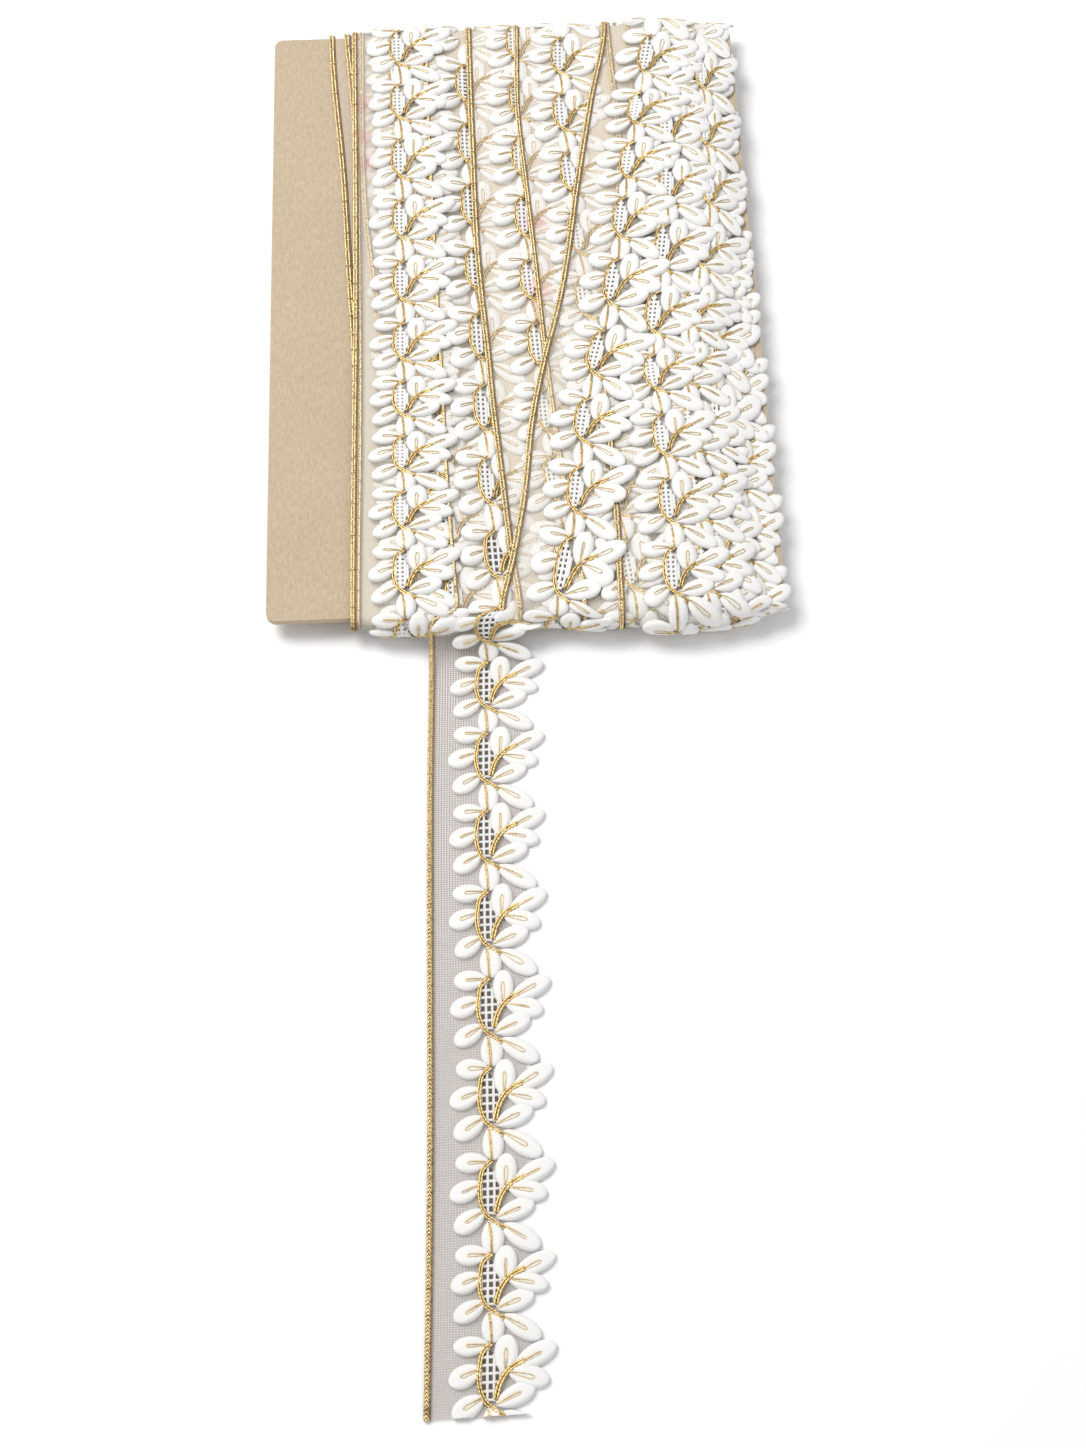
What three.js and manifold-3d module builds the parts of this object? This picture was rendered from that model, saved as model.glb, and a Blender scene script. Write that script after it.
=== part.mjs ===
// Embroidered lace trim wound lengthwise round a flat kraft card, with one loose end.
// Millimetres, +Z up. The card lies flat and its lower left corner is at x = 0, y = 0 until the last lines,
// which move the origin to the middle of the whole part's footprint.
import * as THREE from "three";
import { mergeVertices } from "three/addons/utils/BufferGeometryUtils.js";
import Module from "manifold-3d";

const wasm = await Module();
wasm.setup();

// Card
const CARD_WIDTH = 206;
const CARD_HEIGHT = 297;
const CARD_THICKNESS = 3;
const CARD_CORNER = 4;
const CARD_UNDERSIDE = 8;
const CARD_MIDDLE = CARD_UNDERSIDE + CARD_THICKNESS / 2;
const GAP = 0.3;

// Trim: gold edge at 0 across, leaf tips at the full width
const TRIM_WIDTH = 45;
const REPEAT = 33;
const STEM_ACROSS = 23.1;
const GROUND_ACROSS = 33;
const CORD_WIDTH = 2.5;
const CORD_RISE = 1.2;
const LEAF_RIM = 0.45;
const LEAF_CROWN = 1.8;
const SHEER_ACROSS = 9;

// Wound body: radius of its fold over the card's ends, its crown on the front, and its left and right sides
const FOLD_RADIUS = 6.6;
const FOLD_RADIUS_SIDE = 5;
const THICKENING = 40;
const FRONT_CROWN = 1;
const UNDERSIDE_EASE = 26;
const LEFT_TOP = 28;
const LEFT_BOTTOM = 36;
const LEFT_BACK = 33;
const BODY_RIGHT = 203;
const SHOWS_THROUGH = 0.35;
const RELIEF_FADES = 7;
const RELIEF_ENDS = 16;
const FRONT_ROWS = 76;
const FOLD_ROWS = 7;
const BACK_ROWS = 8;
const COLUMNS = 50;

// Loose end
const LOOSE_EDGE_X = 64.2;
const LOOSE_DRIFT = 0.0249;
const LOOSE_END_Y = -303.9;
const LOOSE_THICKNESS = 1;
const LOOSE_FIRST_STEM = 12.5;
const LOOSE_REPEAT = 32.8;
const LEAF_DEPTH = 0.15;
const LEAF_DEPTH_ON_BEND = -0.4;
const BEND_CLEAR = 14;
// Height of its underside on the way from the fold down to the surface
const LOOSE_DESCENT = [
  { y: -4.6, z: 15.8 },
  { y: -7.9, z: 11.6 },
  { y: -9.7, z: 7.6 },
  { y: -12.7, z: 4.2 },
  { y: -17.2, z: 1.8 },
  { y: -22.6, z: 0.4 },
  { y: -28.5, z: 0 },
  { y: -34, z: 0 },
];

// Leaves of one repeat: across from the gold edge, along from the stem node towards the viewer
const LEAVES = [
  { name: "centre", baseAcross: 23.4, baseAlong: 20.4, tipAcross: 23.8, tipAlong: 32.6, width: 7.2 },
  { name: "left_1", baseAcross: 22.0, baseAlong: 0.3, tipAcross: 10.1, tipAlong: 0.0, width: 6.6 },
  { name: "left_2", baseAcross: 19.2, baseAlong: 8.3, tipAcross: 8.7, tipAlong: 12.2, width: 6.4 },
  { name: "left_3", baseAcross: 20.4, baseAlong: 17.7, tipAcross: 10.4, tipAlong: 23.4, width: 6.4 },
  { name: "right_1", baseAcross: 28.1, baseAlong: 10.1, tipAcross: 28.4, tipAlong: -2.4, width: 6.8 },
  { name: "right_2", baseAcross: 31.5, baseAlong: 7.7, tipAcross: 45.0, tipAlong: 1.6, width: 6.4 },
  { name: "right_3", baseAcross: 29.4, baseAlong: 9.8, tipAcross: 42.3, tipAlong: 12.9, width: 6.4 },
  { name: "right_4", baseAcross: 25.2, baseAlong: 20.1, tipAcross: 37.4, tipAlong: 15.8, width: 6.4 },
  { name: "right_5", baseAcross: 27.4, baseAlong: 23.2, tipAcross: 39.8, tipAlong: 31.2, width: 6.6 },
];

// Front passes, lowest first. The gold edge's x is given at the card's top edge, middle and bottom edge.
// level is the height of the ground over the body, stem is the y of one stem node, and sheer is the
// share of the sheer ground's width that lies open.
const PASSES = [
  { name: "right_low", edgeTop: 167, edgeMid: 163, edgeBottom: 162.5, level: -0.3, stem: 263, sheer: 1 },
  { name: "left_low", edgeTop: 28, edgeMid: 35.5, edgeBottom: 36, level: -0.5, stem: 8, sheer: 1 },
  { name: "right_mid", edgeTop: 158, edgeMid: 157, edgeBottom: 158.5, level: 0.2, stem: 97, sheer: 1 },
  { name: "right_slant", edgeTop: 171, edgeMid: 146, edgeBottom: 121, level: 0.6, stem: 214, sheer: 1 },
  { name: "right", edgeTop: 147, edgeMid: 138, edgeBottom: 140, level: 0.7, stem: 99, sheer: 1 },
  { name: "second", edgeTop: 66, edgeMid: 70.5, edgeBottom: 77, level: 0.6, stem: 35.3, sheer: 0.4 },
  { name: "third", edgeTop: 87.6, edgeMid: 89.6, edgeBottom: 101, level: 0.9, stem: 240, sheer: 1 },
  { name: "fourth", edgeTop: 108.3, edgeMid: 114.8, edgeBottom: 126, level: 1.2, stem: 258.1, sheer: 0.8 },
  { name: "slant", edgeTop: 153, edgeMid: 123.2, edgeBottom: 92.8, level: 1.6, stem: 226.7, sheer: 1 },
  { name: "first", edgeTop: 37.4, edgeMid: 35.8, edgeBottom: 33.4, level: 1.3, stem: 200.3, sheer: 0.8 },
];

function smoothstep(low, high, value) {
  const t = Math.min(1, Math.max(0, (value - low) / (high - low)));
  return t * t * (3 - 2 * t);
}

// Closed solid between an upper and a lower grid of points; point(i, j, upper) gives [x, y, z]
function gridGeometry(rows, columns, point) {
  const positions = [];
  const indices = [];
  const across = columns + 1;
  const lower = (rows + 1) * across;
  for (const upper of [true, false])
    for (let i = 0; i <= rows; i++)
      for (let j = 0; j <= columns; j++) positions.push(...point(i, j, upper));
  const quad = (a, b, c, d) => indices.push(a, b, c, a, c, d);
  for (let i = 0; i < rows; i++)
    for (let j = 0; j < columns; j++) {
      const a = i * across + j;
      quad(a, a + across, a + across + 1, a + 1);
      quad(lower + a, lower + a + 1, lower + a + across + 1, lower + a + across);
    }
  for (let i = 0; i < rows; i++) {
    const left = i * across;
    const right = left + columns;
    quad(left, lower + left, lower + left + across, left + across);
    quad(right, right + across, lower + right + across, lower + right);
  }
  for (let j = 0; j < columns; j++) {
    const end = rows * across + j;
    quad(j, j + 1, lower + j + 1, lower + j);
    quad(end, lower + end, lower + end + 1, end + 1);
  }
  return indexedGeometry(positions, indices);
}

function indexedGeometry(positions, indices) {
  const geometry = new THREE.BufferGeometry();
  geometry.setAttribute("position", new THREE.Float32BufferAttribute(positions, 3));
  geometry.setIndex(indices);
  return geometry;
}

function solidOf(geometry) {
  const merged = mergeVertices(geometry, 1e-4);
  return new wasm.Manifold(
    new wasm.Mesh({
      numProp: 3,
      vertProperties: new Float32Array(merged.attributes.position.array),
      triVerts: new Uint32Array(merged.index.array),
    }),
  );
}

function geometryOf(solid) {
  const mesh = solid.getMesh();
  const geometry = new THREE.BufferGeometry();
  geometry.setAttribute("position", new THREE.BufferAttribute(new Float32Array(mesh.vertProperties), 3));
  geometry.setIndex(new THREE.BufferAttribute(new Uint32Array(mesh.triVerts), 1));
  geometry.computeVertexNormals();
  return geometry;
}

function union(geometries) {
  return geometries.map(solidOf).reduce((whole, piece) => whole.add(piece));
}

// Outline and crown of one leaf: share of its length, and share of its half width
const LEAF_RIM_POINTS = [
  { length: 0, side: 0 },
  { length: 0.3, side: -0.85 },
  { length: 0.74, side: -0.96 },
  { length: 1, side: -0.3 },
  { length: 1, side: 0.3 },
  { length: 0.74, side: 0.96 },
  { length: 0.3, side: 0.85 },
];
const LEAF_CROWN_POINTS = [0.36, 0.7];

// Leaf solid; place(across, along, lift) puts its points on the cloth, and depth is how far it reaches down
function leafGeometry(leaf, place, rim, crown, depth) {
  const axisX = leaf.tipAcross - leaf.baseAcross;
  const axisY = leaf.tipAlong - leaf.baseAlong;
  const length = Math.hypot(axisX, axisY);
  const sideX = (-axisY / length) * (leaf.width / 2);
  const sideY = (axisX / length) * (leaf.width / 2);
  const at = (share, side, lift) =>
    place(
      leaf.baseAcross + axisX * share + sideX * side,
      leaf.baseAlong + axisY * share + sideY * side,
      lift,
    );
  const count = LEAF_RIM_POINTS.length;
  const positions = [];
  for (const p of LEAF_RIM_POINTS) positions.push(...at(p.length, p.side, rim));
  for (const p of LEAF_RIM_POINTS) positions.push(...at(p.length, p.side, depth));
  for (const share of LEAF_CROWN_POINTS) positions.push(...at(share, 0, crown));
  const low = 2 * count;
  const high = low + 1;
  const top = [
    [0, 1, low], [1, 2, high], [1, high, low], [2, 3, high], [3, 4, high],
    [4, 5, high], [5, 6, low], [5, low, high], [6, 0, low],
  ];
  const indices = top.flatMap(([a, b, c]) => [a, c, b]);
  for (let k = 0; k < count; k++) {
    const next = (k + 1) % count;
    indices.push(k, next, count + next, k, count + next, count + k);
  }
  for (let k = 1; k < count - 1; k++) indices.push(count, count + k, count + k + 1);
  return indexedGeometry(positions, indices);
}

// Radius of the fold at x, thinner at the left and right where few turns lie
function foldRadius(x) {
  const left = smoothstep(LEFT_TOP, LEFT_TOP + THICKENING, x);
  const right = 1 - smoothstep(BODY_RIGHT - THICKENING, CARD_WIDTH, x);
  return FOLD_RADIUS_SIDE + (FOLD_RADIUS - FOLD_RADIUS_SIDE) * Math.min(left, right);
}

// Point at x, y and lift over the wound body, where y runs on round the folds beyond the card's ends
function onBody(x, y, lift) {
  const radius = foldRadius(x);
  const side = y < 0 ? -1 : 1;
  const edge = y < 0 ? 0 : CARD_HEIGHT;
  const beyond = Math.max(0, -y, y - CARD_HEIGHT);
  if (beyond > 0) {
    const turn = beyond / radius;
    const out = radius + lift;
    return [x, edge + side * out * Math.sin(turn), CARD_MIDDLE + out * Math.cos(turn)];
  }
  const middle = (2 * y) / CARD_HEIGHT - 1;
  return [x, y, CARD_MIDDLE + radius + FRONT_CROWN * (1 - middle ** 4) + lift];
}

// Underside of the body: flat on the surface, and drawn up to the folds near the card's ends
function undersideHeight(x, y) {
  const toEnd = Math.min(y, CARD_HEIGHT - y);
  const raised = CARD_MIDDLE - foldRadius(x);
  return raised * (1 - smoothstep(0, UNDERSIDE_EASE, toEnd));
}

// x of a pass's gold edge at y, a parabola through its three named values, and its slope
function edgeX(pass, y) {
  const t = 1 - y / CARD_HEIGHT;
  const bend = 4 * (pass.edgeMid - (pass.edgeTop + pass.edgeBottom) / 2);
  return pass.edgeTop + (pass.edgeBottom - pass.edgeTop) * t + bend * t * (1 - t);
}

function edgeSlope(pass, y) {
  return (edgeX(pass, y + 1) - edgeX(pass, y - 1)) / 2;
}

// Across and along position of a point of the front on a pass, along from the nearest stem node above it
function onPass(pass, x, y) {
  const slope = edgeSlope(pass, y);
  const stretch = Math.hypot(1, slope);
  let across = (x - edgeX(pass, y)) / stretch;
  const gathered = SHEER_ACROSS * pass.sheer;
  across = across < gathered ? across / pass.sheer : across + SHEER_ACROSS - gathered;
  const run = (pass.stem - y) * stretch + (across - STEM_ACROSS) * slope * (across > CORD_WIDTH ? 1 : 0);
  return { across, along: ((run % REPEAT) + REPEAT) % REPEAT };
}

// Height of a leaf's padded dome over its ground, 0 outside the leaf
function leafDome(leaf, across, along) {
  const axisX = leaf.tipAcross - leaf.baseAcross;
  const axisY = leaf.tipAlong - leaf.baseAlong;
  const length = Math.hypot(axisX, axisY);
  const dx = across - leaf.baseAcross;
  const dy = along - leaf.baseAlong;
  const share = (dx * axisX + dy * axisY) / (length * length);
  const side = (dx * axisY - dy * axisX) / length / (leaf.width / 2);
  const reach = Math.max(Math.abs(2 * share - 1), Math.abs(side));
  if (reach >= 1) return 0;
  const room = 1 - (2 * share - 1) ** 2 - side * side;
  return room > 0 ? LEAF_CROWN * Math.sqrt(room) : 0;
}

function leavesHeight(across, along) {
  let height = 0;
  for (const leaf of LEAVES)
    for (const shift of [-REPEAT, 0, REPEAT])
      height = Math.max(height, leafDome(leaf, across, along + shift));
  return height;
}

// Height of the front over the body: each pass lies on those below it, which show through a little
function frontLift(x, y) {
  let height = 0;
  for (const pass of PASSES) {
    const { across, along } = onPass(pass, x, y);
    if (across < -1 || across > TRIM_WIDTH) continue;
    const leaves = leavesHeight(across, along);
    if (across > GROUND_ACROSS) {
      if (leaves > 0) height = Math.max(height, pass.level + leaves);
      continue;
    }
    const cord = across < CORD_WIDTH + 1 ? CORD_RISE : 0;
    const below = SHOWS_THROUGH * Math.max(0, height - pass.level);
    height = pass.level + Math.max(leaves, cord, below);
  }
  return height;
}

// How far the leaf tips of the lowest right pass reach at y
function rightReach(y) {
  const pass = PASSES[0];
  let reach = BODY_RIGHT;
  for (const leaf of LEAVES)
    for (let k = -1; k <= CARD_HEIGHT / REPEAT + 1; k++) {
      const tipY = pass.stem - k * REPEAT - leaf.tipAlong;
      const away = (y - tipY) / (leaf.width / 2);
      if (Math.abs(away) >= 1) continue;
      const tipX = edgeX(pass, y) + leaf.tipAcross - leaf.width / 2;
      reach = Math.max(reach, tipX + (leaf.width / 2) * Math.sqrt(1 - away * away));
    }
  return reach;
}

// Share by which the relief is pressed flat under the loose end, where it leaves over the fold
function looseSeat(x, y) {
  const left = smoothstep(LOOSE_EDGE_X - 9, LOOSE_EDGE_X - 4, x);
  const right = 1 - smoothstep(LOOSE_EDGE_X + TRIM_WIDTH + 4, LOOSE_EDGE_X + TRIM_WIDTH + 9, x);
  return left * right * (1 - smoothstep(-2, 8, y));
}

// Sleeve of wound turns round the card, open at its left and right sides where the card passes through
function woundTrim() {
  const stations = [];
  const addRun = (part, rows) => {
    for (let k = 0; k < rows; k++) stations.push({ part, share: k / rows });
  };
  addRun("front", FRONT_ROWS);
  addRun("bottom", FOLD_ROWS);
  addRun("back", BACK_ROWS);
  addRun("top", FOLD_ROWS);
  const half = CARD_THICKNESS / 2 + GAP;
  const leftX = (station) => {
    if (station.part === "front") return LEFT_TOP + (LEFT_BOTTOM - LEFT_TOP) * station.share;
    if (station.part === "bottom") return LEFT_BOTTOM + (LEFT_BACK - LEFT_BOTTOM) * station.share;
    if (station.part === "top") return LEFT_BACK + (LEFT_TOP - LEFT_BACK) * station.share;
    return LEFT_BACK;
  };
  const rightX = (station) =>
    station.part === "front" ? rightReach(CARD_HEIGHT * (1 - station.share)) : BODY_RIGHT;
  const outer = (station, x) => {
    if (station.part === "back") {
      const y = CARD_HEIGHT * station.share;
      return [x, y, undersideHeight(x, y)];
    }
    const round = foldRadius(x) * Math.PI;
    let y = CARD_HEIGHT * (1 - station.share);
    if (station.part === "bottom") y = -round * station.share;
    if (station.part === "top") y = CARD_HEIGHT + round * (1 - station.share);
    const beyond = Math.max(0, -y, y - CARD_HEIGHT);
    const relief = (1 - smoothstep(RELIEF_FADES, RELIEF_ENDS, beyond)) * (1 - looseSeat(x, y));
    return onBody(x, y, frontLift(x, y) * relief);
  };
  const inner = (station, x) => {
    const rise = half * Math.cos(Math.PI * station.share);
    if (station.part === "bottom") return [x, -GAP, CARD_MIDDLE + rise];
    if (station.part === "top") return [x, CARD_HEIGHT + GAP, CARD_MIDDLE - rise];
    const run = (CARD_HEIGHT + 2 * GAP) * station.share;
    if (station.part === "front") return [x, CARD_HEIGHT + GAP - run, CARD_MIDDLE + half];
    return [x, run - GAP, CARD_MIDDLE - half];
  };
  const positions = [];
  const indices = [];
  const ring = stations.length;
  for (let j = 0; j <= COLUMNS; j++)
    for (const station of stations) {
      const left = leftX(station);
      positions.push(...outer(station, left + ((rightX(station) - left) * j) / COLUMNS));
    }
  for (const end of [leftX, () => BODY_RIGHT])
    for (const station of stations) positions.push(...inner(station, end(station)));
  const quad = (a, b, c, d) => indices.push(a, b, c, a, c, d);
  const last = COLUMNS * ring;
  const innerLeft = last + ring;
  const innerRight = innerLeft + ring;
  for (let k = 0; k < ring; k++) {
    const next = (k + 1) % ring;
    for (let j = 0; j < COLUMNS; j++) {
      const here = j * ring;
      const there = here + ring;
      quad(here + k, here + next, there + next, there + k);
    }
    quad(innerLeft + k, innerRight + k, innerRight + next, innerLeft + next);
    quad(k, innerLeft + k, innerLeft + next, next);
    quad(last + k, last + next, innerRight + next, innerRight + k);
  }
  const geometry = indexedGeometry(positions, indices);
  geometry.computeVertexNormals();
  return geometry;
}

// Loose end: its underside's path from the fold to the cut, measured along the cloth
const descent = new THREE.CatmullRomCurve3(LOOSE_DESCENT.map((p) => new THREE.Vector3(0, p.y, p.z)));
const descentLength = descent.getLength();
const flatStart = LOOSE_DESCENT[LOOSE_DESCENT.length - 1].y;
const looseLength = descentLength + flatStart - LOOSE_END_Y;

function onLoose(across, along, lift) {
  const drift = LOOSE_EDGE_X;
  if (along >= descentLength) {
    const y = flatStart - (along - descentLength);
    return [drift + LOOSE_DRIFT * y + across, y + LOOSE_DRIFT * across, lift];
  }
  const share = Math.max(0, along) / descentLength;
  const point = descent.getPointAt(share);
  const tangent = descent.getTangentAt(share);
  return [
    drift + LOOSE_DRIFT * point.y + across,
    point.y + LOOSE_DRIFT * across + tangent.z * lift,
    Math.max(0, point.z - tangent.y * lift),
  ];
}

function looseStations() {
  const stations = [];
  const descentRows = 10;
  const flatRows = 12;
  for (let k = 0; k < descentRows; k++) stations.push((descentLength * k) / descentRows);
  for (let k = 0; k <= flatRows; k++)
    stations.push(descentLength + ((looseLength - descentLength) * k) / flatRows);
  return stations;
}

function looseEnd() {
  const stations = looseStations();
  const groundAcross = [CORD_WIDTH + GAP, 15, 24, GROUND_ACROSS];
  const pieces = [
    gridGeometry(stations.length - 1, groundAcross.length - 1, (i, j, upper) =>
      onLoose(groundAcross[j], stations[i], upper ? LOOSE_THICKNESS : 0),
    ),
  ];
  const count = Math.ceil(looseLength / LOOSE_REPEAT);
  for (let k = -1; k < count; k++)
    for (const leaf of LEAVES) {
      const start = LOOSE_FIRST_STEM + k * LOOSE_REPEAT;
      const ends = [start + leaf.baseAlong, start + leaf.tipAlong];
      if (Math.min(...ends) < 2.5 || Math.max(...ends) > looseLength - 0.5) continue;
      const place = (across, along, lift) => onLoose(across, start + along, lift);
      const depth = Math.min(...ends) < BEND_CLEAR ? LEAF_DEPTH_ON_BEND : LEAF_DEPTH;
      pieces.push(
        leafGeometry(leaf, place, LOOSE_THICKNESS + LEAF_RIM, LOOSE_THICKNESS + LEAF_CROWN, depth),
      );
    }
  return geometryOf(union(pieces));
}

// Gold cord along the loose end's straight side, with flattened round section
function looseGoldEdge() {
  const stations = looseStations();
  const sides = 8;
  const centre = CORD_WIDTH / 2;
  const height = LOOSE_THICKNESS + CORD_RISE * 0.6;
  const positions = [];
  const indices = [];
  for (const along of stations)
    for (let k = 0; k < sides; k++) {
      const angle = (2 * Math.PI * (k + 0.5)) / sides;
      positions.push(
        ...onLoose(centre + centre * Math.cos(angle), along, height / 2 + (height / 2) * Math.sin(angle)),
      );
    }
  for (let i = 0; i < stations.length - 1; i++)
    for (let k = 0; k < sides; k++) {
      const a = i * sides + k;
      const b = i * sides + ((k + 1) % sides);
      indices.push(a, b, b + sides, a, b + sides, a + sides);
    }
  const lastRing = (stations.length - 1) * sides;
  for (let k = 1; k < sides - 1; k++) {
    indices.push(0, k + 1, k);
    indices.push(lastRing, lastRing + k, lastRing + k + 1);
  }
  return indexedGeometry(positions, indices);
}

function cardBoard() {
  const outline = new THREE.Shape();
  const r = CARD_CORNER;
  outline.moveTo(r, 0);
  outline.lineTo(CARD_WIDTH - r, 0);
  outline.absarc(CARD_WIDTH - r, r, r, -Math.PI / 2, 0);
  outline.lineTo(CARD_WIDTH, CARD_HEIGHT - r);
  outline.absarc(CARD_WIDTH - r, CARD_HEIGHT - r, r, 0, Math.PI / 2);
  outline.lineTo(r, CARD_HEIGHT);
  outline.absarc(r, CARD_HEIGHT - r, r, Math.PI / 2, Math.PI);
  outline.lineTo(0, r);
  outline.absarc(r, r, r, Math.PI, 1.5 * Math.PI);
  const settings = { depth: CARD_THICKNESS, bevelEnabled: false, curveSegments: 5 };
  const geometry = new THREE.ExtrudeGeometry(outline, settings);
  geometry.translate(0, 0, CARD_UNDERSIDE);
  return geometry;
}

const KRAFT = new THREE.MeshStandardMaterial({ color: 0xcdb696, roughness: 0.92, metalness: 0 });
const THREAD = new THREE.MeshStandardMaterial({ color: 0xf6f4ee, roughness: 0.7, metalness: 0 });
const GOLD = new THREE.MeshStandardMaterial({ color: 0xc39a4a, roughness: 0.4, metalness: 0.6 });

const part = new THREE.Group();
function addMesh(name, geometry, material) {
  const mesh = new THREE.Mesh(geometry, material);
  mesh.name = name;
  part.add(mesh);
}

addMesh("card", cardBoard(), KRAFT);
addMesh("wound_trim", woundTrim(), THREAD);
addMesh("loose_end", looseEnd(), THREAD);
addMesh("loose_gold_edge", looseGoldEdge(), GOLD);

// Origin at the middle of the footprint, on the surface
const bounds = new THREE.Box3().setFromObject(part);
part.position.set(-(bounds.min.x + bounds.max.x) / 2, -(bounds.min.y + bounds.max.y) / 2, -bounds.min.z);

export default part;
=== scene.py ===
import math

import bpy
import numpy as np
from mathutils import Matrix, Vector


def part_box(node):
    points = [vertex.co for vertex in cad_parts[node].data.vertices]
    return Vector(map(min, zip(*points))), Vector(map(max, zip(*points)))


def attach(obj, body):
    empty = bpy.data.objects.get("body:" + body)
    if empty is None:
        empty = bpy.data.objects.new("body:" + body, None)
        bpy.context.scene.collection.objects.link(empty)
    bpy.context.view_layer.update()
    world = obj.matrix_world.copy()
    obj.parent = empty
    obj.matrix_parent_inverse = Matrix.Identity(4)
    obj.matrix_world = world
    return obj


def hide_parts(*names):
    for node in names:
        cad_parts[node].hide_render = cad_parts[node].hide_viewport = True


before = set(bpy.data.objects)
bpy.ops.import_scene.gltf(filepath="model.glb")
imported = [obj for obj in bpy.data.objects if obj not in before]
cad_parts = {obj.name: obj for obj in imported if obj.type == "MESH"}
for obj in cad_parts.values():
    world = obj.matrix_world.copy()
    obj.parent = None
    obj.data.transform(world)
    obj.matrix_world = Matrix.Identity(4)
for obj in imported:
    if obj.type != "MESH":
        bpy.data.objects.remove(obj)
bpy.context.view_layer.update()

MM = 0.001
UV_CM = 0.1
RANDOM = np.random.default_rng(14)
SCENE = bpy.context.scene

# Card, read from the frame. Work below is in millimetres from its lower left corner, with z from
# the surface.
CARD_LOW, CARD_HIGH = (np.array(c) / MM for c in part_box("card"))
CARD_WIDTH = float(CARD_HIGH[0] - CARD_LOW[0])
CARD_LENGTH = float(CARD_HIGH[1] - CARD_LOW[1])
CARD_TOP = float(CARD_HIGH[2])
CARD_UNDERSIDE = float(CARD_LOW[2])
CARD_MIDDLE = (CARD_TOP + CARD_UNDERSIDE) / 2
HALF_CARD = (CARD_TOP - CARD_UNDERSIDE) / 2
ORIGIN = np.array([CARD_LOW[0], CARD_LOW[1], 0.0])

# Trim, in millimetres across from the gold edge and along one repeat
TRIM_WIDTH = 45.0
REPEAT = 33.0
STEM_ACROSS = 23.1
GROUND_ACROSS = 33.0
GROUND_SWELL_FROM = 26.0
# Swell of the ground's leaf side over one repeat: place along, share
GROUND_SCALLOP = [(0.0, 1.0), (5.0, 0.9), (9.0, 0.1), (20.0, -0.6), (25.0, -0.3), (29.0, 0.8),
                  (33.0, 1.0)]
SHEER_ACROSS = 9.0
CORD_WIDTH = 2.5
LEAF_CROWN = 1.7
GROUND_LIFT = 0.2
FULL_LIFT = 2.1
LEAST_ROOM = 0.06
CLEARANCE = 0.03

# Wound pad, unrolled to x and s, where s runs down the front, round the fold, up the back and
# round again
FOLD = math.pi * 6.6
LOOP = 2 * (CARD_LENGTH + FOLD)
FRONT_END = CARD_LENGTH
BACK_START = CARD_LENGTH + FOLD
BACK_END = 2 * CARD_LENGTH + FOLD
GRID_LEFT = 18.0
GRID_RIGHT = 222.0
HIDDEN_TURNS = 2.0
PRESSED = 0.46
CORE_LEFT = 36.0
CORE_RIGHT = 206.6
BACK_DEPTH = CARD_UNDERSIDE - 0.5
BACK_SOFTNESS = 1.2
FOLD_DRAW = 0.04
TOP_EASE = 0.24
TOP_EASE_RIGHT = 0.6
TOP_EASE_LENGTH = 45.0
SIDE_START = 176.0
SIDE_REACH_TOP = 90.0
SIDE_REACH_LOW = 112.0
SIDE_DROOP = 0.4

# Leaves: base and tip, across from the gold edge and along from the stem node, and width
LEAVES = [
    # base across, base along, tip across, tip along, width
    (23.4, 20.2, 23.8, 33.0, 8.2),
    (22.4, 0.3, 9.9, 0.0, 7.6),
    (20.0, 8.0, 8.4, 12.2, 8.0),
    (20.8, 17.5, 10.0, 23.6, 7.8),
    (27.9, 10.6, 28.4, -2.8, 8.2),
    (31.0, 8.0, 45.3, 1.2, 7.7),
    (28.8, 9.6, 42.8, 13.1, 7.6),
    (24.6, 20.3, 38.2, 15.4, 7.4),
    (26.8, 22.8, 40.6, 31.6, 7.6),
]
CENTRE_LEAF = 0
LEAF_ENDS = (0.06, 0.985)
LEAF_UNDERSIDE = 0.12
RIM_HEIGHT, RIM_PLACE, RIM_WIDTH = 0.12, 0.72, 0.16
GROOVE_DEPTH, GROOVE_WIDTH = 0.22, 0.6
# Gold stems of one repeat, across and along
MAIN_STEM = [(23.1, 0.0), (20.0, 2.9), (19.1, 6.9), (18.8, 11.5), (19.4, 15.3), (21.2, 19.3),
             (24.4, 21.9), (27.6, 24.2)]
SIDE_STEM = [(24.6, 18.6), (26.0, 13.6), (28.1, 10.1), (31.2, 7.6), (34.6, 6.2)]
CENTRE_STEM = [(22.2, 21.9), (22.8, 26.5), (23.2, 32.8)]
STEMS = [
    # path, radius of each row, share of the leaf relief that it rides on
    (MAIN_STEM, 0.4, 0.8),
    (SIDE_STEM, 0.48, 0.8),
    (CENTRE_STEM, 0.22, 1.0),
]
STEM_RISE = 0.8
STEM_BEADS = 0.4
# Gold edge: twist length, height, sway and radii of its cords, and where its two cords lie
CORD_TWIST = 2.8
CORD_LIFT = 0.75
CORD_SWAY = 0.36
PLY_RADIUS = 0.31
CORD_RADIUS = 0.52
LOOSE_LANES = (0.6, 1.4)
WOUND_LANES = (0.66, 1.66)
PIECE_POINTS = 12
# Dark row beside the gold edge
ROW_BESIDE, ROW_SWAY, ROW_LIFT, ROW_RADIUS = 0.92, 0.1, 0.4, 0.24
# Gold loop on each leaf
VEIN_RADIUS = 0.21
VEIN_START = 0.02
VEIN_REACH = 0.62
VEIN_HALF_WIDTH = 0.75
VEIN_BEADS = 0.3
# Open filling between the stems: its right edge, as places along and across
FILLING_ALONG, FILLING_RIGHT = [0.8, 4.0, 9.0, 14.0, 19.0], [22.0, 24.4, 26.6, 26.2, 24.6]
FILLING_END = 19.2
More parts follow.
